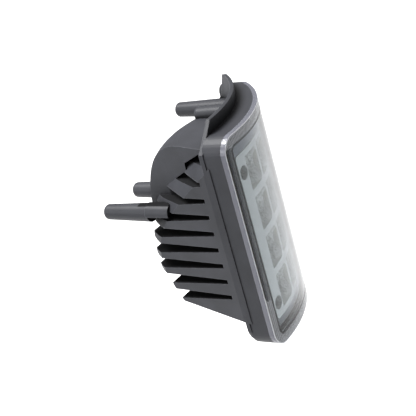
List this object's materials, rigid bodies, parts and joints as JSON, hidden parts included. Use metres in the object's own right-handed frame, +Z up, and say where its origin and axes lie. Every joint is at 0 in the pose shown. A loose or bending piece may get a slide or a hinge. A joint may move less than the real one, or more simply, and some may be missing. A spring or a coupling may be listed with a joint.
{
  "type": "hood light",
  "caption": "Tractor hood light with a bent clear lens on a finned die-cast housing that has a rear dome and long rear posts to bolt it on.",
  "frame": {"origin": "middle of the two tapped holes in the tips of the lower posts", "axes": "+X from the near side of the lamp, seen in the picture, to its far side; +Y from the lens to the rear, out of the tapped holes; +Z up"},
  "size_m": [0.1172, 0.12, 0.1578],
  "materials": {
    "powder_coat": "dark grey powder coat on die-cast aluminium",
    "clear_lens": "clear polycarbonate",
    "seal_rubber": "black foamed seal",
    "grey_plastic": "grey moulded plastic",
    "metallised": "vacuum metallised plastic",
    "dark_steel": "blackened steel",
    "bare_aluminium": "bare sheet",
    "bright_steel": "zinc plated",
    "pad": "soft silicone pad",
    "white_board": "white solder mask",
    "led_phosphor": "phosphor under clear silicone",
    "green_board": "green solder mask",
    "ferrite": "ferrite",
    "capacitor_can": "sleeved can",
    "chip_black": "moulded black",
    "header_plastic": "natural nylon",
    "lead_insulation": "red insulation",
    "gland_plastic": "black nylon"
  },
  "bodies": {
    "root": {"housing": "powder_coat", "lens": "clear_lens", "lens_seal": "seal_rubber", "bezel": "grey_plastic", "reflector": "metallised", "reflector_screws": "dark_steel", "carrier_plate": "bare_aluminium", "carrier_screws": "bright_steel", "thermal_pads": "pad", "led_strip_near": "white_board", "led_strip_middle": "white_board", "led_strip_far": "white_board", "leds": "led_phosphor", "strip_screws": "bright_steel", "driver_board": "green_board", "driver_screws": "bright_steel", "driver_coils": "ferrite", "driver_capacitors": "capacitor_can", "driver_chips": "chip_black", "driver_header": "header_plastic", "strip_leads": "lead_insulation", "inlet_gland": "gland_plastic", "inlet_seal": "seal_rubber", "inlet_nut": "gland_plastic", "vent_plug": "gland_plastic", "vent_seal": "seal_rubber"}
  },
  "joints": []
}
